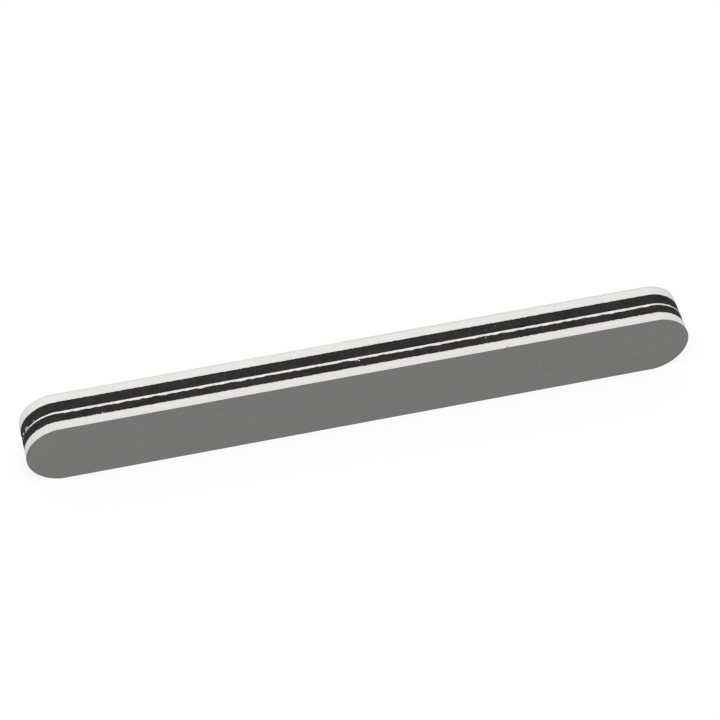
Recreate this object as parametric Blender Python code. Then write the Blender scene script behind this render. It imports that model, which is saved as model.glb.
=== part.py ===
"""Laminated nail buffing board: foam layers round a stiff core, with three working faces.

Metres, +Z up. +X runs along the board and +Y from its shine face to its two rear faces.
The board stands on one long edge, and the origin is on the ground under its middle.
"""

import math

import bpy

MM = 0.001

# Outline, as the die cuts it through all the layers
BOARD_LENGTH = 178.0 * MM
BOARD_WIDTH = 20.0 * MM
END_RADIUS_OVER_HALF_WIDTH = 0.1 * MM
END_ARC_STEPS = 32

# Thickness of each layer, from the shine face to the rear faces
SHINE_FILM = 0.20 * MM
FRONT_WHITE_FOAM = 2.35 * MM
FRONT_BLACK_FOAM = 2.45 * MM
CORE_BOARD = 0.60 * MM
REAR_BLACK_FOAM = 3.10 * MM
REAR_WHITE_FOAM = 2.50 * MM
REAR_FILM = 0.20 * MM

# Every bond line is a clear adhesive film of one thickness
ADHESIVE = 0.10 * MM

# The two rear faces meet at a butt seam across the board
REAR_SEAM_X = -3.0 * MM
REAR_SEAM_GAP = 0.30 * MM

# Finishes: colour as seen (0 to 255), roughness, metallic
SHINE_GREY = ((117, 117, 116), 0.62, 0.0)
RIDGE_GREY = ((172, 170, 166), 0.85, 0.0)
SMOOTH_WHITE = ((232, 231, 227), 0.70, 0.0)
FOAM_WHITE = ((230, 229, 226), 0.90, 0.0)
FOAM_BLACK = ((50, 49, 49), 0.92, 0.0)
CORE_WHITE = ((238, 238, 236), 0.45, 0.0)
ADHESIVE_CLEAR = ((214, 210, 196), 0.35, 0.0)

OBJECT_NAME = "nail_buffer"


def clear_scene():
    """Empty the scene of whatever it held."""
    for scene_object in list(bpy.data.objects):
        bpy.data.objects.remove(scene_object, do_unlink=True)


def linear(channel):
    """The scene-linear value of one colour channel as seen."""
    level = channel / 255
    if level <= 0.04045:
        return level / 12.92
    return ((level + 0.055) / 1.055) ** 2.4


def make_material(name, finish):
    """A Principled material with this finish."""
    colour, roughness, metallic = finish
    material = bpy.data.materials.new(name)
    material.use_nodes = True
    shader = material.node_tree.nodes["Principled BSDF"]
    shader.inputs["Base Color"].default_value = (*map(linear, colour), 1.0)
    shader.inputs["Roughness"].default_value = roughness
    shader.inputs["Metallic"].default_value = metallic
    material.diffuse_color = (*map(linear, colour), 1.0)
    return material


def end_arc(side):
    """One rounded end from its lower corner to its upper one; side is 1 at +X and -1 at -X."""
    half_width = BOARD_WIDTH / 2
    radius = half_width + END_RADIUS_OVER_HALF_WIDTH
    centre = BOARD_LENGTH / 2 - radius
    half_angle = math.asin(half_width / radius)
    points = []
    for step in range(END_ARC_STEPS + 1):
        angle = half_angle * (2 * step / END_ARC_STEPS - 1)
        points.append((side * (centre + radius * math.cos(angle)), radius * math.sin(angle)))
    return points


def straight_cut(x):
    """A cut square across the board, from its lower edge to its upper one."""
    half_width = BOARD_WIDTH / 2
    return [(x, -half_width), (x, half_width)]


def make_layer(name, finish, front, thickness, left, right, collection, parent):
    """One layer: the outline between two ends, standing up, with its front face at y = front."""
    curve = bpy.data.curves.new(name, "CURVE")
    curve.dimensions = "2D"
    curve.fill_mode = "BOTH"
    curve.extrude = thickness / 2
    outline = right + left[::-1]
    spline = curve.splines.new("POLY")
    spline.points.add(len(outline) - 1)
    for point, (x, z) in zip(spline.points, outline):
        point.co = (x, z, 0.0, 1.0)
    spline.use_cyclic_u = True
    curve.materials.append(make_material(name, finish))
    layer = bpy.data.objects.new(name, curve)
    layer.location = (0.0, front + thickness / 2, BOARD_WIDTH / 2)
    layer.rotation_euler = (math.pi / 2, 0.0, 0.0)
    layer.parent = parent
    collection.objects.link(layer)
    return layer


def build():
    """Stack the layers, from the shine face backwards."""
    clear_scene()
    collection = bpy.data.collections.new(OBJECT_NAME)
    bpy.context.scene.collection.children.link(collection)
    holder = bpy.data.objects.new(OBJECT_NAME, None)
    collection.objects.link(holder)

    # Layers that run the whole length
    full_layers = (
        ("shine_face_film", SHINE_GREY, SHINE_FILM),
        ("shine_face_adhesive", ADHESIVE_CLEAR, ADHESIVE),
        ("front_white_foam", FOAM_WHITE, FRONT_WHITE_FOAM),
        ("front_foam_adhesive", ADHESIVE_CLEAR, ADHESIVE),
        ("front_black_foam", FOAM_BLACK, FRONT_BLACK_FOAM),
        ("front_core_adhesive", ADHESIVE_CLEAR, ADHESIVE),
        ("core_board", CORE_WHITE, CORE_BOARD),
        ("rear_core_adhesive", ADHESIVE_CLEAR, ADHESIVE),
        ("rear_black_foam", FOAM_BLACK, REAR_BLACK_FOAM),
        ("rear_foam_adhesive", ADHESIVE_CLEAR, ADHESIVE),
        ("rear_white_foam", FOAM_WHITE, REAR_WHITE_FOAM),
    )
    thickness = sum(layer[2] for layer in full_layers) + ADHESIVE + REAR_FILM
    front = -thickness / 2
    left, right = end_arc(-1), end_arc(1)
    for name, finish, depth in full_layers:
        make_layer(name, finish, front, depth, left, right, collection, holder)
        front += depth

    # The rear faces, each on its own adhesive, either side of the seam
    left_cut = straight_cut(REAR_SEAM_X - REAR_SEAM_GAP / 2)
    right_cut = straight_cut(REAR_SEAM_X + REAR_SEAM_GAP / 2)
    rear_faces = (
        ("smooth_face", SMOOTH_WHITE, left, left_cut),
        ("ridge_face", RIDGE_GREY, right_cut, right),
    )
    for name, finish, start, end in rear_faces:
        make_layer(name + "_adhesive", ADHESIVE_CLEAR, front, ADHESIVE, start, end, collection, holder)
        make_layer(name + "_film", finish, front + ADHESIVE, REAR_FILM, start, end, collection, holder)


build()
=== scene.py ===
"""Dressed scene of a three-way nail buffer.

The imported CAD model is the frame: a stack of die-cut layers that stands on one long edge, +X along the
board and +Y from its shine face to its two rear faces, in metres. This script puts cut foam in place of
the plain foam solids, adds the ragged lip of the core, the crumbs left by cutting and the grains of the
coarse rear face, gives every layer its finish, and sets up the floor, the lights and the camera.
"""

import logging
import math
from dataclasses import dataclass, replace
from enum import Enum
from typing import Dict, List, Optional, Tuple, Union

import bmesh
import bpy
from mathutils import Matrix, Vector, noise


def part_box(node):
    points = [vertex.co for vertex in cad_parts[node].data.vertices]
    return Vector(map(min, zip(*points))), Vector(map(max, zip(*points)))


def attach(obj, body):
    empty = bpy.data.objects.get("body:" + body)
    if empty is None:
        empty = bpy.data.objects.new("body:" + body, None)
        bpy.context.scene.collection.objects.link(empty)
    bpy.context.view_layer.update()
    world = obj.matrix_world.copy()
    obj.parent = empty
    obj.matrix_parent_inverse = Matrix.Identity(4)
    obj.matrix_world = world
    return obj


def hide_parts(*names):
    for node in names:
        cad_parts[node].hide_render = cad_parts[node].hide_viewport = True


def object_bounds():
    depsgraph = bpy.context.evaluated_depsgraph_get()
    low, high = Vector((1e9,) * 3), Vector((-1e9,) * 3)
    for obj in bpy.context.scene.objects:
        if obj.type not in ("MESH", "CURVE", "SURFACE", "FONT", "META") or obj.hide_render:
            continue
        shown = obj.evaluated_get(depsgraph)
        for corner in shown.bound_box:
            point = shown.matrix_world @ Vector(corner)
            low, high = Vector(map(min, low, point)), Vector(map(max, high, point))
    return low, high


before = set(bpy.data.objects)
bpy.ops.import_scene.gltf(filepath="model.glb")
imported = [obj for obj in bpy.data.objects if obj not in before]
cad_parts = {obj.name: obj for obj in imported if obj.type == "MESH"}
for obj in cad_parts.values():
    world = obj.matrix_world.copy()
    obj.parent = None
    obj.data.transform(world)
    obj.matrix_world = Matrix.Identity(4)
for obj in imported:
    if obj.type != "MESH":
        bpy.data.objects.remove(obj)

LOG = logging.getLogger("nail_buffer")
CAD_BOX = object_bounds()

MM = 0.001
PER_METRE = 1000.0
BODY = "root"

Socket = bpy.types.NodeSocket
Object = bpy.types.Object
Material = bpy.types.Material
Triple = Tuple[float, float, float]
Pair = Tuple[float, float]
Inputs = Dict[Union[int, str], object]


class Tone(Enum):
    """Own colour of each material, from 0 to 255, before the light falls on it."""

    SHINE = (114.8, 114.8, 114.3)
    RIDGE = (172.0, 170.0, 166.0)
    GRAIN = (150.0, 149.0, 147.0)
    SMOOTH = (234.0, 233.0, 230.0)
    FRONT_WHITE_FOAM = (226.5, 225.5, 222.5)
    REAR_WHITE_FOAM = (229.5, 229.0, 225.5)
    BLACK_FOAM = (43.0, 42.0, 42.0)
    CORE = (230.0, 229.0, 225.0)
    ADHESIVE = (233.0, 232.0, 228.0)
    BACKING = (228.0, 227.0, 223.0)
    DUST = (205.0, 204.0, 202.0)
    DIRT = (60.0, 59.0, 57.0)
    STUDIO = (250.0, 250.0, 250.0)

    def linear(self, share: float = 1.0) -> Tuple[float, float, float, float]:
        """Turn a share of the tone into a scene-linear colour.

        Args:
            share: below 1 for a darker tone and above 1 for a lighter one.

        Returns:
            The colour with an alpha of 1.
        """
        levels = [channel * share / 255 for channel in self.value]
        red, green, blue = (v / 12.92 if v <= 0.04045 else ((v + 0.055) / 1.055) ** 2.4 for v in levels)
        return (red, green, blue, 1.0)


class Signal:
    """A number that nodes work out. Each sign of arithmetic on it adds one Math node."""

    def __init__(self, graph: "Graph", socket: Socket) -> None:
        """Wrap one output of a node."""
        self.graph, self.socket = graph, socket

    def __add__(self, other: "Value") -> "Signal":
        """The sum of both."""
        return self.graph.math("ADD", self, other)

    __radd__ = __add__

    def __sub__(self, other: "Value") -> "Signal":
        """This less the other."""
        return self.graph.math("SUBTRACT", self, other)

    def __rsub__(self, other: float) -> "Signal":
        """The other less this."""
        return self.graph.math("SUBTRACT", other, self)

    def __mul__(self, other: "Value") -> "Signal":
        """The product of both."""
        return self.graph.math("MULTIPLY", self, other)

    def __truediv__(self, other: "Value") -> "Signal":
        """This divided by the other."""
        return self.graph.math("DIVIDE", self, other)

    def __rtruediv__(self, other: float) -> "Signal":
        """The other divided by this."""
        return self.graph.math("DIVIDE", other, self)

    def __neg__(self) -> "Signal":
        """This with the other sign."""
        return self * -1.0

    def __abs__(self) -> "Signal":
        """This without its sign."""
        return self.graph.math("ABSOLUTE", self)

    def swing(self, reach: "Value") -> "Signal":
        """Noise about 0.5 turned into a swing about 0, of that reach either way."""
        return (self - 0.5) * (reach * 2.0)


Value = Union[float, Signal]


class Graph:
    """A node tree in the making, with short calls for its nodes, links and maths."""

    def __init__(self, tree: bpy.types.NodeTree) -> None:
        """Start on a tree."""
        self.tree = tree

    def node(self, kind: str, inputs: Optional[Inputs] = None, **settings: object) -> bpy.types.Node:
        """Add one node.

        Args:
            kind: Blender's name for the node's type.
            inputs: what feeds each input, by the input's name or number.
            settings: the node's own properties.

        Returns:
            The new node.
        """
        made = self.tree.nodes.new(kind)
        for name, setting in settings.items():
            setattr(made, name, setting)
        for key, value in (inputs or {}).items():
            self.feed(made.inputs[key], value)
        return made

    def feed(self, entry: Socket, value: object) -> None:
        """Link a node's output to an input, or set the input to a constant.

        Args:
            entry: the input.
            value: a signal, another kind of output, or a constant.
        """
        source = value.socket if isinstance(value, Signal) else value
        if isinstance(source, bpy.types.NodeSocket):
            self.tree.links.new(source, entry)
        else:
            entry.default_value = source

    def signal(self, kind: str, inputs: Inputs, output: Union[int, str] = 0, **settings: object) -> Signal:
        """The number that one output of a new node gives."""
        return Signal(self, self.node(kind, inputs, **settings).outputs[output])

    def math(self, operation: str, *values: Value, clamp: bool = False) -> Signal:
        """One step of arithmetic, on numbers in the node's own order."""
        return self.signal("ShaderNodeMath", dict(enumerate(values)), operation=operation, use_clamp=clamp)

    def vector(self, operation: str, first: object, second: object) -> Socket:
        """Take one step of arithmetic on vectors.

        Args:
            operation: CROSS_PRODUCT, DISTANCE, MULTIPLY or SCALE.
            first: a vector.
            second: another vector, or the factor of SCALE.

        Returns:
            The vector, or for DISTANCE the number.
        """
        inputs = {0: first, "Scale" if operation == "SCALE" else 1: second}
        made = self.node("ShaderNodeVectorMath", inputs, operation=operation)
        return made.outputs["Value" if operation == "DISTANCE" else "Vector"]

    def combine(self, x: Value, y: Value, z: Value) -> Socket:
        """A vector from three numbers."""
        return self.node("ShaderNodeCombineXYZ", {0: x, 1: y, 2: z}).outputs[0]

    def separate(self, vector: Socket) -> List[Signal]:
        """The three numbers of a vector."""
        return [Signal(self, part) for part in self.node("ShaderNodeSeparateXYZ", {0: vector}).outputs]

    def ramp(self, value: object, span: Tuple[Value, Value], levels: Pair = (0.0, 1.0),
             kind: str = "LINEAR") -> Signal:
        """The first level where a number starts the span, the second where it ends it, a ramp between."""
        inputs = dict(zip(("Value", "From Min", "From Max", "To Min", "To Max"), (value, *span, *levels)))
        return self.signal("ShaderNodeMapRange", inputs, interpolation_type=kind)

    def noise(self, place: Socket, size: Value, detail: float, seed: Value) -> Signal:
        """Smooth noise about 0.5, from 0 to 1. Its largest features are size wide, in place's unit."""
        inputs = {"Vector": place, "W": seed, "Scale": 1.0 / size, "Detail": detail}
        return self.signal("ShaderNodeTexNoise", inputs, "Fac", noise_dimensions="4D")

    def cells(self, place: Socket, size: Value, seed: float) -> Tuple[Signal, Signal]:
        """Add cells of about one size.

        Args:
            place: position, in the same unit as size.
            size: width of a cell.
            seed: picks one pattern.

        Returns:
            The distance from each cell's middle, and a number that is random for each cell.
        """
        inputs = {"Vector": place, "W": seed, "Scale": 1.0 / size}
        made = self.node("ShaderNodeTexVoronoi", inputs, voronoi_dimensions="4D", feature="F1")
        return Signal(self, made.outputs["Distance"]), self.separate(made.outputs["Color"])[0]


@dataclass(frozen=True)
class Pattern:
    """Noise on a surface: its features' width in millimetres, and its swings in colour and roughness."""

    size: float
    detail: float
    seed: float
    share: float = 0.0
    uneven: float = 0.0
    stretch: Triple = (1.0, 1.0, 1.0)


@dataclass(frozen=True)
class Cells:
    """Cells on a surface: their width in millimetres, their relief, and swings at random for each cell."""

    size: float
    seed: float
    depth: float
    share: float = 0.0
    uneven: float = 0.0


class Surface(Graph):
    """A material in the making: a Principled surface fed from the piece's own coordinates."""

    def __init__(self, name: str) -> None:
        """Start with the shader and the place in millimetres.

        Args:
            name: the material's name.
        """
        self.material = bpy.data.materials.new(name)
        self.material.use_nodes = True
        super().__init__(self.material.node_tree)
        self.tree.nodes.clear()
        self.shader = self.node("ShaderNodeBsdfPrincipled")
        self.node("ShaderNodeOutputMaterial", {"Surface": self.shader.outputs[0]})
        self.place = self.vector("SCALE", self.node("ShaderNodeTexCoord").outputs["Object"], PER_METRE)
        self.along, self.through, self.up = self.separate(self.place)

    def pattern(self, pattern: Pattern) -> Signal:
        """The noise of a pattern."""
        place = self.vector("MULTIPLY", self.place, tuple(1 / stretch for stretch in pattern.stretch))
        return self.noise(place, pattern.size, pattern.detail, pattern.seed)

    def mix(self, below: object, above: object, share: Value) -> Socket:
        """A colour laid over another, as far as the share says."""
        inputs = {"Factor": share, 6: below, 7: above}
        return self.node("ShaderNodeMix", inputs, data_type="RGBA").outputs[2]

    def finish(self, colour: object, rough: Value, height: Signal, bump: float, specular: float) -> Material:
        """Feed the shader and hand the material over.

        Args:
            colour: base colour.
            rough: roughness, from 0 to 1.
            height: height map, from 0 to 1.
            bump: how deep the height map is, in metres.
            specular: specular level, 0.5 for ordinary plastic.

        Returns:
            The finished material.
        """
        normal = self.node("ShaderNodeBump", {"Height": height, "Distance": bump}).outputs["Normal"]
        inputs = {"Base Color": colour, "Roughness": rough, "Normal": normal, "Specular IOR Level": specular}
        for name, value in inputs.items():
            self.feed(self.shader.inputs[name], value)
        return self.material


@dataclass(frozen=True)
class Speck:
    """A small mark on a surface: its place and radius in millimetres, and how strongly it shows."""

    place: Triple
    radius: float
    share: float
    solid: float = 0.3

    def cover(self, surface: Surface) -> Signal:
        """How far the speck covers the surface."""
        away = surface.vector("DISTANCE", surface.place, self.place)
        return surface.ramp(away, (self.solid * self.radius, self.radius), (self.share, 0.0), "SMOOTHSTEP")


@dataclass(frozen=True)
class Backing:
    """The sheet that carries a working face's coat, and shows where its edge is cut, in millimetres.

    The coat goes from the face inwards, which is 1 or -1 along the board's thickness.
    """

    tone: Tone
    face: float
    inward: float
    coat: float = 0.05
    fade: float = 0.02

    def over(self, surface: Surface, colour: Socket, rough: Value) -> Tuple[Socket, Value]:
        """The coat's colour, and the backing's where the coat ends, with the coat's roughness."""
        levels = (self.face + self.inward * self.coat, self.face + self.inward * (self.coat + self.fade))
        return surface.mix(colour, self.tone.linear(), surface.ramp(surface.through, levels)), rough


@dataclass(frozen=True)
class Smear:
    """Black foam dust that the knife rubbed over the core's edge, in millimetres.

    It creeps in from both borders, further round the ends, and one patch covers the left tip's upper side.
    """

    front: float
    back: float
    tone: Tone = Tone.BLACK_FOAM
    shoulder: float = 0.06
    tip: float = 0.17
    patch: float = 0.33
    shoulder_from: Pair = (79.0, 82.0)
    tip_from: Pair = (84.8, 86.8)
    patch_from: Pair = (87.1, 88.0)
    patch_height: Pair = (7.0, 10.0)
    wander: Pattern = Pattern(0.9, detail=3.0, seed=15.0, share=0.22)
    softness: float = 0.02
    roughness: float = 0.92

    def over(self, surface: Surface, colour: Socket, rough: Value) -> Tuple[Socket, Value]:
        """Lay the dust over the core.

        Args:
            surface: the core's surface.
            colour: the clean core's colour.
            rough: its roughness.

        Returns:
            The dusty core's colour and roughness.
        """
        away = abs(surface.along)
        upper = surface.ramp(surface.up, self.patch_height)
        reach = (
            surface.ramp(away, self.shoulder_from, (0.0, self.shoulder))
            + surface.ramp(away, self.tip_from, (0.0, self.tip - self.shoulder))
            + surface.ramp(-surface.along, self.patch_from, (0.0, self.patch)) * upper
            + surface.pattern(self.wander).swing(self.wander.share)
        )
        middle, half = (self.front + self.back) / 2, (self.back - self.front) / 2
        inside = half - abs(surface.through - middle) - reach
        dusty = surface.ramp(inside, (self.softness, -self.softness))
        rough = surface.math("MAXIMUM", rough, dusty * self.roughness)
        return surface.mix(colour, self.tone.linear(), dusty), rough


@dataclass(frozen=True)
class Finish:
    """A finish made uneven by noise and cells, with specks on it and perhaps a cover.

    Contrast is how much darker or lighter than its tone it gets. Its relief is the first pattern, or what
    is random from cell to cell, with the cells' own relief on top, and bump is its depth in metres.
    """

    name: str
    tone: Tone
    contrast: float
    roughness: float = 0.5
    specular: float = 0.5
    bump: float = 0.01 * MM
    patterns: Tuple[Pattern, ...] = ()
    cells: Optional[Cells] = None
    speck_tone: Tone = Tone.DIRT
    specks: Tuple[Speck, ...] = ()
    cover: Union[Backing, Smear, None] = None

    def material(self) -> Material:
        """Make the finish.

        Returns:
            The material.
        """
        surface = Surface(self.name)
        parts = [(surface.pattern(pattern), pattern) for pattern in self.patterns]
        relief: Value = 0.0
        if self.cells is not None:
            away, random = surface.cells(surface.place, self.cells.size, self.cells.seed)
            relief = away * self.cells.depth
            if self.cells.share:
                parts.insert(0, (random, self.cells))
        height = parts[0][0] + relief
        rough = sum((signal.swing(part.uneven) for signal, part in parts if part.uneven), self.roughness)
        swings = sum((signal.swing(part.share) for signal, part in parts), 0.5)
        dark, light = self.tone.linear(1 - self.contrast), self.tone.linear(1 + self.contrast)
        colour = surface.mix(dark, light, surface.math("ADD", swings, 0.0, clamp=True))
        for speck in self.specks:
            colour = surface.mix(colour, self.speck_tone.linear(), speck.cover(surface))
        if self.cover is not None:
            colour, rough = self.cover.over(surface, colour, rough)
        return surface.finish(colour, rough, height, self.bump, self.specular)


@dataclass(frozen=True)
class FoamFinish(Finish):
    """Cut edge of closed-cell foam: fine cells, faint mottling and streaks left by the knife."""

    roughness: float = 0.92
    specular: float = 0.12
    bump: float = 0.030 * MM
    patterns: Tuple[Pattern, ...] = (
        Pattern(0.38, detail=3.0, seed=1.0, share=0.9),
        Pattern(3.2, detail=3.0, seed=2.0, share=0.55, uneven=0.05),
        Pattern(1.0, detail=1.0, seed=3.0, share=0.45, stretch=(16.0, 0.22, 16.0)),
    )
    cells: Cells = Cells(0.20, seed=4.0, depth=0.5)


@dataclass(frozen=True)
class FilmFinish(Finish):
    """Fine working film: an even coat of grit too small to see, over a satin binder."""

    patterns: Tuple[Pattern, ...] = (
        Pattern(0.16, detail=2.0, seed=5.0, share=0.6, uneven=0.05),
        Pattern(0.8, detail=2.0, seed=5.5, share=0.7),
        Pattern(9.0, detail=2.0, seed=6.0, share=0.25, uneven=0.04),
    )
    cells: Cells = Cells(0.16, seed=7.0, depth=0.4)


@dataclass(frozen=True)
class GritFinish(Finish):
    """Coarse abrasive paper, or the grains on it: angular flecks, some light and some dark."""

    patterns: Tuple[Pattern, ...] = (Pattern(6.0, detail=2.0, seed=9.0, share=0.4),)
    cells: Cells = Cells(0.16, seed=8.0, depth=1.0, share=0.8, uneven=0.1)


@dataclass(frozen=True)
class CoreFinish(Finish):
    """Stiff white plastic, torn rather than sliced: bright, with fine chatter across its edge."""

    tone: Tone = Tone.CORE
    contrast: float = 0.10
    specular: float = 0.35
    bump: float = 0.02 * MM
    patterns: Tuple[Pattern, ...] = (
        Pattern(0.5, detail=3.0, seed=11.0, share=0.9, uneven=0.15),
        Pattern(4.0, detail=2.0, seed=12.0, share=0.5),
    )


@dataclass(frozen=True)
class BondFinish:
    """Edge of an adhesive film, smeared by foam from either side so that the border wanders."""

    name: str
    front_tone: Tone
    rear_tone: Tone
    border: float
    wander: Pattern = Pattern(0.8, detail=4.0, seed=13.0, share=0.27, uneven=0.2)
    softness: float = 0.02
    roughness: float = 0.55
    specular: float = 0.25
    bump: float = 0.01 * MM

    def material(self) -> Material:
        """Make the bond line.

        Returns:
            The material.
        """
        surface = Surface(self.name)
        wander = surface.pattern(self.wander)
        beyond = surface.through - (self.border + wander.swing(self.wander.share))
        share = surface.ramp(beyond, (-self.softness, self.softness))
        colour = surface.mix(self.front_tone.linear(), self.rear_tone.linear(), share)
        rough = self.roughness + wander.swing(self.wander.uneven)
        return surface.finish(colour, rough, wander, self.bump, self.specular)


@dataclass(frozen=True)
class FloorFinish:
    """White studio floor that is lit from below as well, as a light table is."""

    name: str = "studio_white"
    tone: Tone = Tone.STUDIO
    glow: float = 0.82
    spread: float = 0.20
    cloud: Pattern = Pattern(120.0, detail=2.0, seed=14.0)
    roughness: float = 0.9
    bump: float = 0.01 * MM

    def material(self) -> Material:
        """Make the floor's white.

        Returns:
            The material.
        """
        surface = Surface(self.name)
        surface.shader.inputs["Emission Color"].default_value = (1.0, 1.0, 1.0, 1.0)
        surface.shader.inputs["Emission Strength"].default_value = self.glow
        shade = [self.spread * channel for channel in self.tone.linear()[:3]]
        cloud = surface.pattern(self.cloud)
        return surface.finish((*shade, 1.0), self.roughness, cloud, self.bump, specular=0.0)


# Marks that the photograph shows on the shine face and on the foams' cut edges
SHINE_SPECKS = (
    Speck((73.37, -6.0, 17.56), 0.30, 0.55),
    Speck((79.59, -6.0, 1.95), 0.26, 0.25),
    Speck((14.3, -6.0, 2.7), 0.24, 0.22),
    Speck((-52.9, -6.0, 14.4), 0.22, 0.2),
)
FRONT_WHITE_SPECKS = (
    Speck((10.7, -4.18, 19.95), 0.20, 0.28),
    Speck((-33.6, -4.02, 19.95), 0.20, 0.18),
    Speck((0.8, -4.26, 19.95), 0.20, 0.16),
)
REAR_WHITE_SPECKS = (
    Speck((68.1, 4.22, 19.95), 0.20, 0.25),
    Speck((33.3, 3.88, 19.95), 0.20, 0.2),
)
BLACK_SPECKS = (
    Speck((37.5, 1.88, 19.95), 0.38, 0.10),
    Speck((34.9, 1.21, 19.95), 0.34, 0.08),
    Speck((31.0, 2.29, 19.95), 0.20, 0.12),
    Speck((6.5, -2.75, 19.95), 0.20, 0.12),
)


def linked(name: str, data: bpy.types.ID) -> Object:
    """Put new data in the scene.

    Args:
        name: the object's name.
        data: its mesh, curve, light or camera.

    Returns:
        The new object.
    """
    made = bpy.data.objects.new(name, data)
    bpy.context.scene.collection.objects.link(made)
    return made


def moulded(name: str, shape: bmesh.types.BMesh, material: Material) -> Object:
    """Turn a worked shape into an object of the scene.

    Args:
        name: the object's name.
        shape: the finished shape, which is freed.
        material: its material.

    Returns:
        The new object.
    """
    mesh = bpy.data.meshes.new(name)
    shape.to_mesh(mesh)
    shape.free()
    mesh.materials.append(material)
    return linked(name, mesh)


def closed_curve(name: str, points: List[Pair]) -> Object:
    """Draw a closed curve that lies flat.

    Args:
        name: the object's name.
        points: its points, in order.

    Returns:
        The curve's object.
    """
    data = bpy.data.curves.new(name, "CURVE")
    data.dimensions = "3D"
    spline = data.splines.new("POLY")
    spline.points.add(len(points) - 1)
    for point, (x, y) in zip(spline.points, points):
        point.co = (x, y, 0.0, 1.0)
    spline.use_cyclic_u = True
    return linked(name, data)


@dataclass(frozen=True)
class BoardOutline:
    """The die-cut outline, in metres: straight edges and two ends, each one arc."""

    half_length: float
    half_width: float
    end_radius: float

    @classmethod
    def from_frame(cls, node: str, tolerance: float = 0.01 * MM) -> "BoardOutline":
        """Read the outline from a full-length layer of the frame.

        Args:
            node: name of the CAD node.
            tolerance: how far below the upper edge a corner may lie.

        Returns:
            The outline.
        """
        low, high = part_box(node)
        half_width = (high.z - low.z) / 2
        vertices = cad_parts[node].data.vertices
        corner = max(v.co.x for v in vertices if v.co.z > high.z - tolerance)
        rise = high.x - corner
        radius = (rise * rise + half_width * half_width) / (2 * rise)
        return cls(high.x, half_width, radius)

    def corner(self) -> float:
        """How far from the middle the straight edges end."""
        drop = math.sqrt(self.end_radius**2 - self.half_width**2)
        return self.half_length - self.end_radius + drop

    def arc(self, side: float, inset: float, steps: int = 96) -> List[Pair]:
        """Walk round one end, from its lower corner to its upper one.

        Args:
            side: 1 for the end at +X and -1 for the one at -X.
            inset: how far inside the true outline the points lie.
            steps: how many chords the arc has.

        Returns:
            Points along and across the board, measured from its middle.
        """
        radius = self.end_radius - inset
        centre = self.half_length - self.end_radius
        half_angle = math.asin((self.half_width - inset) / radius)
        angles = [half_angle * (2 * step / steps - 1) for step in range(steps + 1)]
        return [(side * (centre + radius * math.cos(a)), radius * math.sin(a)) for a in angles]

    def loop(self, inset: float = 0.0, left_cut: Optional[float] = None) -> List[Pair]:
        """Walk round the whole outline, anticlockwise.

        Args:
            inset: how far inside the true outline the points lie.
            left_cut: where a square cut takes the place of the left end.

        Returns:
            Points along and across the board, measured from its middle.
        """
        across = self.half_width - inset
        left = self.arc(-1.0, inset) if left_cut is None else [(left_cut, -across), (left_cut, across)]
        return self.arc(1.0, inset) + left[::-1]


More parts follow.
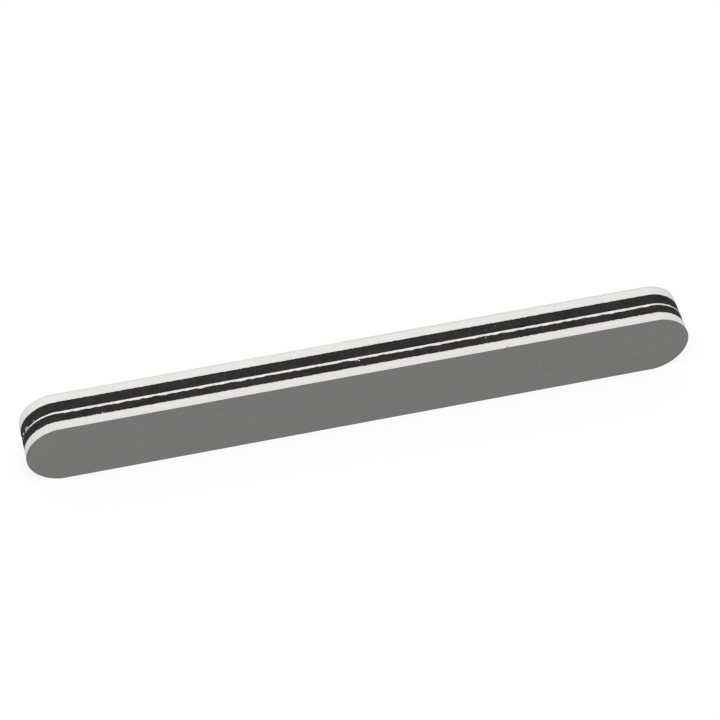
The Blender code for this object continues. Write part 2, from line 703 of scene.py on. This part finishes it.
class GeometryTree(Graph):
    """A Geometry Nodes tree whose inputs have plain names."""

    def __init__(self, name: str) -> None:
        """Start a tree that takes one geometry and gives another.

        Args:
            name: the tree's name.
        """
        super().__init__(bpy.data.node_groups.new(name, "GeometryNodeTree"))
        for end in ("INPUT", "OUTPUT"):
            self.tree.interface.new_socket("Geometry", in_out=end, socket_type="NodeSocketGeometry")
        self.entry = self.node("NodeGroupInput")
        self.start = self.entry.outputs["Geometry"]
        self.identifiers: Dict[str, str] = {}
        self.values: Dict[str, object] = {}

    def input(self, name: str, kind: str = "Float") -> Signal:
        """Add a named input.

        Args:
            name: what it sets, in plain words.
            kind: Float, Int or Material.

        Returns:
            Its signal inside the tree.
        """
        item = self.tree.interface.new_socket(name, in_out="INPUT", socket_type="NodeSocket" + kind)
        self.identifiers[name] = item.identifier
        return Signal(self, self.entry.outputs[name])

    def sizes(self, part: object, *fields: str) -> List[Signal]:
        """Add a named input for each of a part's sizes, set to its value.

        Args:
            part: the part that the tree makes.
            fields: names of its fields.

        Returns:
            The inputs' signals, in the same order.
        """
        signals = []
        for field in fields:
            value, name = getattr(part, field), field.replace("_", " ").title()
            signals.append(self.input(name, "Int" if isinstance(value, int) else "Float"))
            self.values[name] = value
        return signals

    def shape(self, kind: str, inputs: Optional[Inputs] = None, **settings: object) -> Socket:
        """The first output of a new geometry node."""
        return self.node("GeometryNode" + kind, inputs, **settings).outputs[0]

    def rim(self, step: Signal) -> Socket:
        """Divide the outline evenly, and keep its outward direction as an attribute.

        Args:
            step: length of a division.

        Returns:
            The divided curve.
        """
        even = self.shape("ResampleCurve", {"Curve": self.start, "Length": step}, mode="LENGTH")
        aside = self.vector("CROSS_PRODUCT", self.shape("InputTangent"), (0.0, 0.0, 1.0))
        kept = {"Geometry": even, "Name": "outward", "Value": aside}
        return self.shape("StoreNamedAttribute", kept, data_type="FLOAT_VECTOR", domain="POINT")

    def pushed(self, geometry: Socket, reach: Value) -> Socket:
        """The geometry moved so far along its kept outward direction."""
        aside = self.shape("InputNamedAttribute", {"Name": "outward"}, data_type="FLOAT_VECTOR")
        return self.shape("SetPosition", {"Geometry": geometry, "Offset": self.vector("SCALE", aside, reach)})

    def moved(self, geometry: Socket, translation: object, rotation: Triple = (0.0, 0.0, 0.0)) -> Socket:
        """The geometry moved and turned as a whole."""
        inputs = {"Geometry": geometry, "Translation": translation, "Rotation": rotation}
        return self.shape("Transform", inputs)

    def shaded(self, geometry: Socket, smooth: bool) -> Socket:
        """The geometry with its faces shaded smooth or flat."""
        return self.shape("SetShadeSmooth", {"Geometry": geometry, "Shade Smooth": smooth})

    def stand(self, geometry: Socket, outline: BoardOutline) -> None:
        """Stand the flat geometry up on its edge, give it its material and end the tree.

        Args:
            geometry: the piece lying flat, its front face up.
            outline: the board's outline.
        """
        (half_width,) = self.sizes(outline, "half_width")
        upright = self.moved(geometry, self.combine(0.0, 0.0, half_width), (math.pi / 2, 0.0, 0.0))
        real = self.shape("RealizeInstances", {"Geometry": upright})
        clean = self.shape("RemoveAttribute", {"Geometry": real, "Name": "outward"})
        material = self.input("Material", "Material")
        dressed = self.shape("SetMaterial", {"Geometry": clean, "Material": material})
        self.node("NodeGroupOutput", {"Geometry": dressed})

    def run(self, name: str, points: List[Pair], material: Material, values: Dict[str, float]) -> Object:
        """Put the tree on a closed curve, and keep what it makes as a plain mesh.

        Args:
            name: the new piece's name.
            points: the curve's points.
            material: the new piece's material.
            values: a value for each named input that isn't one of the part's sizes.

        Returns:
            The new piece, at the origin.
        """
        holder = closed_curve(name + "_path", points)
        modifier = holder.modifiers.new("shape", "NODES")
        modifier.node_group = self.tree
        for label, value in {**self.values, **values, "Material": material}.items():
            modifier[self.identifiers[label]] = value
        depsgraph = bpy.context.evaluated_depsgraph_get()
        mesh = bpy.data.meshes.new_from_object(holder.evaluated_get(depsgraph), depsgraph=depsgraph)
        mesh.name = name
        bpy.data.objects.remove(holder, do_unlink=True)
        return linked(name, mesh)


def place_piece(piece: Object, slot: str, *nodes: str) -> None:
    """Tie a finished piece to the frame.

    Args:
        piece: the new piece.
        slot: the record's material slot that its finish stands for; it only goes into the log.
        nodes: CAD nodes that it stands for.
    """
    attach(piece, BODY)
    if nodes:
        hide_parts(*nodes)
    LOG.info("%s: %d faces, slot %s", piece.name, len(piece.data.polygons), slot)


def dress(node: str, material: Material) -> None:
    """Put a finish on a CAD layer that keeps its own shape.

    Args:
        node: name of the CAD node.
        material: its finish.
    """
    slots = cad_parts[node].data.materials
    slots.clear()
    slots.append(material)
    LOG.info("%s: keeps its CAD shape, finish %s", node, material.name)


@dataclass(frozen=True)
class FoamSheet:
    """Foam sheets: each a slab with a cut wall that draws in a little between its bonds.

    Sizes are in metres. The wall has rows of faces through the thickness, and its relief is long
    grooves that run with the knife, plus shorter lumps. Near the bonds the relief dies away: loosening
    says how fast it comes back.
    """

    outline: BoardOutline
    step: float = 0.32 * MM
    rows: int = 11
    bond_inset: float = 0.03 * MM
    waist: float = 0.05 * MM
    groove: float = 0.040 * MM
    groove_length: float = 7.0 * MM
    groove_width: float = 0.45 * MM
    lump: float = 0.044 * MM
    lump_size: float = 1.1 * MM
    loosening: float = 2.5
    weld: float = 0.002 * MM

    def tree(self) -> GeometryTree:
        """Plan how the outline becomes a foam slab.

        Returns:
            The tree.
        """
        tree = GeometryTree("foam_sheet")
        step, rows, inset, waist, weld = tree.sizes(self, "step", "rows", "bond_inset", "waist", "weld")
        groove, length, width = tree.sizes(self, "groove", "groove_length", "groove_width")
        lump, size, loosening = tree.sizes(self, "lump", "lump_size", "loosening")
        front, back, seed = (tree.input(name) for name in ("Front", "Back", "Seed"))

        rim = tree.pushed(tree.rim(step), -inset)
        ends = {"Start": tree.combine(0.0, front, 0.0), "End": tree.combine(0.0, back, 0.0)}
        line = tree.shape("CurvePrimitiveLine", ends)
        section = tree.shape("ResampleCurve", {"Curve": line, "Count": rows})
        wall = tree.shape("CurveToMesh", {"Curve": rim, "Profile Curve": section})

        place = tree.shape("InputPosition")
        x, across, down = tree.separate(place)
        depth = (-down - front) / (back - front)
        free = depth * (1.0 - depth) * 4.0
        loose = tree.math("MINIMUM", free * loosening, 1.0)
        drawn = tree.combine(x / length, across / length, down / width)
        grooves = tree.noise(drawn, 1.0, detail=2.0, seed=seed).swing(groove)
        lumps = tree.noise(place, size, detail=3.0, seed=seed + 0.5).swing(lump)
        relief = (grooves + lumps) * loose
        cut = tree.shaded(tree.pushed(wall, -(waist * free) + relief), True)

        cap = tree.shaded(tree.shape("FillCurve", {"Curve": rim}), False)
        turned = tree.shape("FlipFaces", {"Mesh": cap})
        front_cap = tree.moved(cap, tree.combine(0.0, 0.0, -front))
        back_cap = tree.moved(turned, tree.combine(0.0, 0.0, -back))
        whole = tree.node("GeometryNodeJoinGeometry")
        for part in (cut, front_cap, back_cap):
            tree.feed(whole.inputs[0], part)
        welded = tree.shape("MergeByDistance", {"Geometry": whole.outputs[0], "Distance": weld})
        tree.stand(welded, self.outline)
        return tree

    def build(self, tree: GeometryTree, node: str, slot: str, material: Material, seed: float) -> None:
        """Build one foam layer in place of its CAD solid.

        Args:
            tree: the tree from this class.
            node: the CAD layer that it stands for.
            slot: the record's material slot.
            material: the foam's finish.
            seed: picks this layer's relief.
        """
        low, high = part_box(node)
        values = {"Front": low.y, "Back": high.y, "Seed": seed}
        piece = tree.run(node + "_sheet", self.outline.loop(), material, values)
        place_piece(piece, slot, node)


@dataclass(frozen=True)
class CoreLip:
    """The core's torn front edge: a thin lip that the knife dragged over the foam in front of it.

    Sizes are in metres. The reach of the lip wanders, jumps from chip to chip and is finely frayed. It
    fades over a span measured from the board's corners, and sinks there by so many times its height.
    """

    outline: BoardOutline
    step: float = 0.11 * MM
    root: float = 0.05 * MM
    reach: float = 0.125 * MM
    wander: float = 0.54 * MM
    wander_length: float = 2.5 * MM
    chip: float = 0.03 * MM
    chip_length: float = 1.7 * MM
    fray: float = 0.07 * MM
    fray_length: float = 1.2 * MM
    least: float = 0.005 * MM
    most: float = 0.50 * MM
    proud: float = 0.012 * MM
    sunk: float = 0.090 * MM
    droop: float = 0.020 * MM
    faded_sink: float = 3.0
    fade: Pair = (-2.5 * MM, 1.5 * MM)

    def tree(self) -> GeometryTree:
        """Plan how the lip is swept round the outline and its edge is torn.

        Returns:
            The tree.
        """
        tree = GeometryTree("core_lip")
        step, root, reach, least, most = tree.sizes(self, "step", "root", "reach", "least", "most")
        wander, wander_length = tree.sizes(self, "wander", "wander_length")
        chip, chip_length, fray, fray_length = tree.sizes(self, "chip", "chip_length", "fray", "fray_length")
        proud, sunk, droop, faded_sink = tree.sizes(self, "proud", "sunk", "droop", "faded_sink")
        edge, fade_start, fade_end = (tree.input(name) for name in ("Edge", "Fade Start", "Fade End"))

        start = edge + root
        section = tree.shape("CurvePrimitiveQuadrilateral", {"Width": proud + sunk, "Height": most})
        middle = tree.combine((proud - sunk) * 0.5, start - most * 0.5, 0.0)
        sweep = {"Curve": tree.rim(step), "Profile Curve": tree.moved(section, middle)}
        strip = tree.shape("CurveToMesh", sweep)

        place = tree.shape("InputPosition")
        x, across, down = tree.separate(place)
        share = (down + start) / most
        along = tree.combine(x, across, 0.0)
        slow = tree.noise(along, wander_length, detail=1.0, seed=21.0).swing(wander)
        fine = tree.noise(along, fray_length, detail=2.0, seed=22.0).swing(fray)
        _, random = tree.cells(along, chip_length, seed=23.0)
        kept = tree.ramp(abs(x), (fade_start, fade_end), (1.0, 0.0))
        torn = (reach + slow + fine + random.swing(chip)) * kept
        length = tree.math("MAXIMUM", tree.math("MINIMUM", torn, most), least)
        held = tree.math("MINIMUM", root, length)
        new_down = share * (length + held) - (edge + held)
        torn_strip = {"Geometry": strip, "Position": tree.combine(x, across, new_down)}
        shaped = tree.shape("SetPosition", torn_strip)

        _, _, down_now = tree.separate(place)
        tip = tree.math("DIVIDE", down_now + edge, most, clamp=True)
        gone = (1.0 - kept) * (proud * faded_sink)
        bent = tree.pushed(shaped, -(tip * droop + gone))
        tree.stand(tree.shaded(bent, False), self.outline)
        return tree

    def build(self, material: Material) -> None:
        """Build the lip along the core's front edge.

        Args:
            material: the torn core's finish.
        """
        low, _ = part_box("core_board")
        corner = self.outline.corner()
        values = {"Edge": low.y, "Fade Start": corner + self.fade[0], "Fade End": corner + self.fade[1]}
        place_piece(self.tree().run("core_lip", self.outline.loop(), material, values), "core_board")


@dataclass(frozen=True)
class Crumb:
    """One crumb on a cut edge, in millimetres, turned by some radians.

    The angle is that of the edge it lies on: 90 for the upper long edge, less on the way round an end,
    where the outline gives the place and x only says which end.
    """

    x: float
    y: float
    angle: float
    length: float
    width: float
    turn: float


CORE_CRUMBS = (
    Crumb(-67.9, -3.05, 90.0, 0.36, 0.26, 0.2),
    Crumb(0.0, -1.22, 90.0, 0.46, 0.26, -0.3),
    Crumb(-0.70, -1.16, 90.0, 0.44, 0.20, 0.2),
    Crumb(34.1, -1.36, 90.0, 0.56, 0.13, 1.45),
    Crumb(-87.7, 0.24, 29.7, 0.85, 0.40, 0.6),
    Crumb(-87.2, 0.10, 34.5, 0.60, 0.24, 0.2),
    Crumb(-87.6, -0.44, 31.0, 1.50, 0.32, 0.12),
    Crumb(-88.4, 0.04, 19.9, 0.80, 0.42, 0.3),
    Crumb(-88.7, -0.35, 13.5, 0.95, 0.26, 1.2),
    Crumb(-85.4, 0.30, 49.8, 0.36, 0.22, 0.0),
)
SHINE_FILM_BURR = (Crumb(38.8, -5.78, 90.0, 0.56, 0.38, 0.3),)


@dataclass(frozen=True)
class Crumbs:
    """Crumbs that the knife left on the cut edge, each where the photograph shows it.

    A crumb is a flattened ball, so many times as high as it is wide, with bulges of some share of it.
    """

    name: str
    slot: str
    crumbs: Tuple[Crumb, ...]
    outline: BoardOutline
    flatness: float = 0.6
    bulge: float = 0.56
    bulges_across: float = 3.5
    seed_step: float = 7.0
    sunk: float = 0.06 * MM

    def frame_at(self, crumb: Crumb) -> Matrix:
        """Find the place and turn of a crumb on the cut edge.

        Args:
            crumb: the crumb.

        Returns:
            Its frame: along the edge, through the board and outwards.
        """
        outline = self.outline
        out = Vector((0.0, 0.0, 1.0))
        place = Vector((crumb.x * MM, crumb.y * MM, 2 * outline.half_width))
        if crumb.angle < 90.0:
            side = math.copysign(1.0, crumb.x)
            angle = math.radians(crumb.angle)
            out = Vector((side * math.cos(angle), 0.0, math.sin(angle)))
            centre = side * (outline.half_length - outline.end_radius)
            place = Vector((centre, crumb.y * MM, outline.half_width)) + out * outline.end_radius
        through = Vector((0.0, 1.0, 0.0))
        turned = Matrix((through.cross(out), through, out)).transposed().to_4x4()
        return Matrix.Translation(place - out * self.sunk) @ turned @ Matrix.Rotation(crumb.turn, 4, "Z")

    def build(self, material: Material) -> None:
        """Build all crumbs as one piece.

        Args:
            material: their finish.
        """
        shape = bmesh.new()
        for number, crumb in enumerate(self.crumbs):
            ball = bmesh.ops.create_icosphere(shape, subdivisions=3, radius=0.5)
            placed = self.frame_at(crumb)
            size = Vector((crumb.length, crumb.width, crumb.width * self.flatness)) * MM
            shift = Vector((self.seed_step * number, 0.0, 0.0))
            for vertex in ball["verts"]:
                ripple = noise.noise(vertex.co * self.bulges_across + shift)
                vertex.co = placed @ (vertex.co * (1 + self.bulge * ripple) * size)
        place_piece(moulded(self.name, shape, material), self.slot)


@dataclass(frozen=True)
class GritGrains:
    """Grains of the coarse rear face, half sunk in its binder. Sizes are in metres."""

    outline: BoardOutline
    margin: float = 0.22 * MM
    per_square_mm: float = 7.0
    smallest: float = 0.07 * MM
    largest: float = 0.15 * MM
    sunk: float = 0.035 * MM
    seed: int = 31

    def tree(self) -> GeometryTree:
        """Plan how grains are scattered inside an outline.

        Returns:
            The tree.
        """
        tree = GeometryTree("grit_grains")
        smallest, largest, seed = tree.sizes(self, "smallest", "largest", "seed")
        level, density = tree.input("Level"), tree.input("Density")
        sheet = tree.shape("FillCurve", {"Curve": tree.start})
        points = tree.shape("DistributePointsOnFaces", {"Mesh": sheet, "Density": density, "Seed": seed})
        stone = tree.shape("MeshUVSphere", {"Segments": 4, "Rings": 2, "Radius": 1.0})
        full_turn = {0: (0.0, 0.0, 0.0), 1: (math.tau, math.tau, math.tau), "Seed": 1}
        turn = tree.node("FunctionNodeRandomValue", full_turn, data_type="FLOAT_VECTOR").outputs[0]
        sides = [
            tree.signal("FunctionNodeRandomValue", {2: smallest, 3: largest, "Seed": side_seed}, 1)
            for side_seed in (2, 3, 4)
        ]
        inputs = {"Points": points, "Instance": stone, "Rotation": turn, "Scale": tree.combine(*sides)}
        raised = tree.moved(tree.shape("InstanceOnPoints", inputs), tree.combine(0.0, 0.0, -level))
        tree.stand(tree.shaded(raised, False), self.outline)
        return tree

    def build(self, material: Material) -> None:
        """Scatter the grains over the coarse rear face.

        Args:
            material: the grains' finish.
        """
        low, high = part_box("ridge_face_film")
        values = {"Level": high.y - self.sunk, "Density": self.per_square_mm / (MM * MM)}
        points = self.outline.loop(self.margin, low.x + self.margin)
        place_piece(self.tree().run("ridge_face_grains", points, material, values), "ridge_film")


@dataclass(frozen=True)
class FoamLayers:
    """The four foam layers."""

    outline: BoardOutline
    white_contrast: float = 0.02
    black_contrast: float = 0.32

    def build(self) -> None:
        """Build the foam sheets with their finishes."""
        white, black = self.white_contrast, self.black_contrast
        finishes = (
            FoamFinish("front_white_foam", Tone.FRONT_WHITE_FOAM, white, specks=FRONT_WHITE_SPECKS),
            FoamFinish("rear_white_foam", Tone.REAR_WHITE_FOAM, white, specks=REAR_WHITE_SPECKS),
            FoamFinish("black_foam", Tone.BLACK_FOAM, black, speck_tone=Tone.DUST, specks=BLACK_SPECKS),
        )
        front_white, rear_white, both_black = (finish.material() for finish in finishes)
        sheets = FoamSheet(self.outline)
        tree = sheets.tree()
        sheets.build(tree, "front_white_foam", "white_foam", front_white, seed=1.0)
        sheets.build(tree, "front_black_foam", "black_foam", both_black, seed=2.0)
        sheets.build(tree, "rear_black_foam", "black_foam", both_black, seed=3.0)
        sheets.build(tree, "rear_white_foam", "white_foam", rear_white, seed=4.0)


@dataclass(frozen=True)
class Core:
    """The stiff core, with what its cutting left: the torn lip and the crumbs."""

    outline: BoardOutline

    def build(self) -> None:
        """Dress the core, and build the lip and the crumbs."""
        low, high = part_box("core_board")
        smear = Smear(low.y * PER_METRE, high.y * PER_METRE)
        torn = CoreFinish("core_lip").material()
        dress("core_board", CoreFinish("core_board", cover=smear).material())
        CoreLip(self.outline).build(torn)
        Crumbs("core_crumbs", "core_board", CORE_CRUMBS, self.outline).build(torn)


@dataclass(frozen=True)
class WorkingFaces:
    """The three working faces, with the shine film's burr and the coarse face's grains.

    The smooth face's grit and the flecks on each grain are so many millimetres wide.
    """

    outline: BoardOutline
    smooth_grit: float = 0.14
    grain_flecks: float = 0.4

    def build(self) -> None:
        """Dress the films, and build the burr and the grains."""
        front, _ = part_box("shine_face_film")
        _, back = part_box("ridge_face_film")
        shine = FilmFinish(
            "shine_film", Tone.SHINE, contrast=0.042, roughness=0.62, specular=0.3, bump=0.006 * MM,
            specks=SHINE_SPECKS, cover=Backing(Tone.BACKING, front.y * PER_METRE, inward=1.0),
        )
        grit, *broader = shine.patterns
        smooth = FilmFinish(
            "smooth_film", Tone.SMOOTH, contrast=0.02, roughness=0.7, specular=0.35, bump=0.02 * MM,
            patterns=(replace(grit, size=self.smooth_grit), *broader),
            cells=replace(shine.cells, size=self.smooth_grit),
            cover=Backing(Tone.SMOOTH, back.y * PER_METRE, inward=-1.0),
        )
        ridge = GritFinish(
            "ridge_film", Tone.RIDGE, contrast=0.16, roughness=0.85, specular=0.3, bump=0.04 * MM,
            cover=Backing(Tone.BACKING, back.y * PER_METRE, inward=-1.0),
        )
        flecks = replace(ridge.cells, size=self.grain_flecks)
        grains = GritFinish("grit_grains", Tone.GRAIN, contrast=0.25, roughness=0.45, cells=flecks)
        dress("shine_face_film", shine.material())
        dress("smooth_face_film", smooth.material())
        dress("ridge_face_film", ridge.material())
        burr = replace(shine, name="shine_film_burr", cover=None, specks=())
        Crumbs("shine_film_burr", "shine_film", SHINE_FILM_BURR, self.outline).build(burr.material())
        GritGrains(self.outline).build(grains.material())


@dataclass(frozen=True)
class BondLines:
    """The bond lines, each with the tones of what it lies between."""

    sides: Tuple[Tuple[str, Tone, Tone], ...] = (
        ("shine_face_adhesive", Tone.ADHESIVE, Tone.FRONT_WHITE_FOAM),
        ("front_foam_adhesive", Tone.FRONT_WHITE_FOAM, Tone.BLACK_FOAM),
        ("front_core_adhesive", Tone.BLACK_FOAM, Tone.BLACK_FOAM),
        ("rear_core_adhesive", Tone.BLACK_FOAM, Tone.BLACK_FOAM),
        ("rear_foam_adhesive", Tone.BLACK_FOAM, Tone.REAR_WHITE_FOAM),
        ("smooth_face_adhesive", Tone.REAR_WHITE_FOAM, Tone.ADHESIVE),
        ("ridge_face_adhesive", Tone.REAR_WHITE_FOAM, Tone.ADHESIVE),
    )

    def build(self) -> None:
        """Dress the bond lines."""
        for node, front_tone, rear_tone in self.sides:
            low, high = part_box(node)
            border = (low.y + high.y) / 2 * PER_METRE
            dress(node, BondFinish(node, front_tone, rear_tone, border).material())


@dataclass(frozen=True)
class PhotoView:
    """The camera that took the photograph, fitted to the board's edges.

    Angles are in degrees. The board's middle lies right of and below the line of sight by the two
    offsets, in metres.
    """

    azimuth: float = -13.40
    elevation: float = 49.80
    distance: float = 765.3 * MM
    lens: float = 145.55
    sensor: float = 36.0
    right_offset: float = -0.591 * MM
    down_offset: float = 5.637 * MM
    clip: Pair = (0.01, 50.0)

    def build(self, middle: Vector) -> None:
        """Put the camera there.

        Args:
            middle: the board's middle.
        """
        azimuth, elevation = math.radians(self.azimuth), math.radians(self.elevation)
        level = math.cos(elevation)
        ahead = Vector((-math.sin(azimuth) * level, math.cos(azimuth) * level, -math.sin(elevation)))
        right = Vector((math.cos(azimuth), math.sin(azimuth), 0.0))
        up = right.cross(ahead)
        place = middle - right * self.right_offset + up * self.down_offset - ahead * self.distance
        data = bpy.data.cameras.new("photo_camera")
        data.lens, data.sensor_width = self.lens, self.sensor
        data.clip_start, data.clip_end = self.clip
        camera = linked("photo_camera", data)
        camera.matrix_world = Matrix.Translation(place) @ Matrix((right, up, -ahead)).transposed().to_4x4()
        bpy.context.scene.camera = camera
        LOG.info("camera: %.0f mm lens, %.0f mm away", self.lens, self.distance * PER_METRE)


@dataclass(frozen=True)
class Studio:
    """White floor, white surroundings and one large soft light above. Sizes are in metres.

    The surroundings light the board less than they show, so that they meet the floor without a line.
    """

    floor_size: float = 20.0
    sky: float = 0.60
    sky_seen: float = 0.93
    box_size: float = 0.5
    box_power: float = 2.8
    box_place: Triple = (-0.06, -0.18, 0.75)

    def build(self, middle: Vector) -> None:
        """Build the floor and the lights.

        Args:
            middle: the point that the light faces.
        """
        scene = bpy.context.scene
        scene.view_settings.view_transform = "Standard"
        scene.view_settings.look = "None"
        shape = bmesh.new()
        bmesh.ops.create_grid(shape, x_segments=4, y_segments=4, size=self.floor_size / 2)
        moulded("studio_floor", shape, FloorFinish().material())
        scene.world = self.surroundings()
        data = bpy.data.lights.new("soft_box", "AREA")
        data.shape, data.size, data.energy = "SQUARE", self.box_size, self.box_power
        light = linked("soft_box", data)
        light.location = self.box_place
        light.rotation_euler = (middle - light.location).to_track_quat("-Z", "Y").to_euler()
        LOG.info("studio: floor, sky %.2f, soft box %.1f W", self.sky, self.box_power)

    def surroundings(self) -> bpy.types.World:
        """Make the white surroundings, lighter to the eye than as a light.

        Returns:
            The world.
        """
        world = bpy.data.worlds.new("white_room")
        world.use_nodes = True
        graph = Graph(world.node_tree)
        seen = graph.node("ShaderNodeLightPath").outputs["Is Camera Ray"]
        strength = graph.math("MULTIPLY_ADD", seen, self.sky_seen - self.sky, self.sky)
        sky = world.node_tree.nodes["Background"]
        sky.inputs["Color"].default_value = (1.0, 1.0, 1.0, 1.0)
        graph.feed(sky.inputs["Strength"], strength)
        return world


def main() -> None:
    """Build the pieces from the front of the board to its back, then the studio."""
    logging.basicConfig(level=logging.INFO, format="%(name)s: %(message)s")
    outline = BoardOutline.from_frame("core_board")
    middle = (CAD_BOX[0] + CAD_BOX[1]) / 2
    for part in (FoamLayers(outline), Core(outline), WorkingFaces(outline), BondLines()):
        part.build()
    Studio().build(middle)
    PhotoView().build(middle)


if __name__ == "__main__":
    main()
